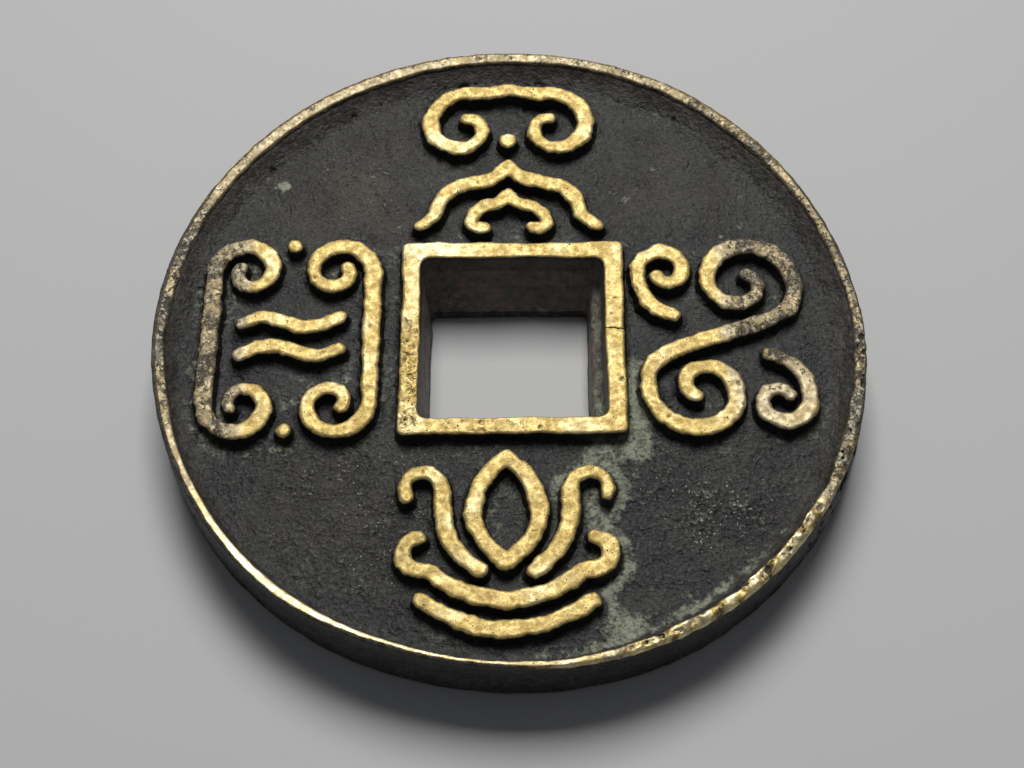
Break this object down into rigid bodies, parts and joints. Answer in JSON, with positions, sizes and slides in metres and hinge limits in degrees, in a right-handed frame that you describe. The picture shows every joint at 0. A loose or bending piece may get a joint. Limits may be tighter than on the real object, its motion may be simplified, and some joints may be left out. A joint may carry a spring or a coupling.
{
  "type": "cash coin",
  "caption": "Thick cast cash coin, round with a square hole, rimmed on both faces, with raised scroll ornaments worn bright over a dark patina.",
  "frame": {"origin": "middle of the underside, on the plane that the reverse rims rest on, at the centre of the coin's outline", "axes": "+Z out of the obverse, which is up in the picture; +Y towards the top of the picture, +X to its right"},
  "size_m": [0.0416, 0.041, 0.005],
  "materials": {
    "dark_patina": "granular cast surface under a near-black patina",
    "worn_brass": "rubbed bright on the tops, pitted, dark in the pits and on the sides",
    "rubbed_patina": "dark patina, lightly rubbed on the flat"
  },
  "bodies": {
    "root": {"flan": "dark_patina", "obverse_outer_rim": "worn_brass", "obverse_inner_rim": "worn_brass", "reverse_outer_rim": "rubbed_patina", "reverse_inner_rim": "rubbed_patina", "cloud_head_top": "worn_brass", "cloud_pearl_top": "worn_brass", "arch_outer_top": "worn_brass", "arch_inner_top": "worn_brass", "c_scroll_outer_left": "worn_brass", "c_scroll_inner_left": "worn_brass", "wave_bar_upper_left": "worn_brass", "wave_bar_lower_left": "worn_brass", "pearl_upper_left": "worn_brass", "pearl_lower_left": "worn_brass", "s_scroll_right": "worn_brass", "comma_cloud_upper_right": "worn_brass", "comma_cloud_lower_right": "worn_brass", "lotus_petal_middle": "worn_brass", "lotus_petal_left": "worn_brass", "lotus_petal_right": "worn_brass", "lotus_cup": "worn_brass", "lotus_root_wave": "worn_brass"}
  },
  "joints": []
}
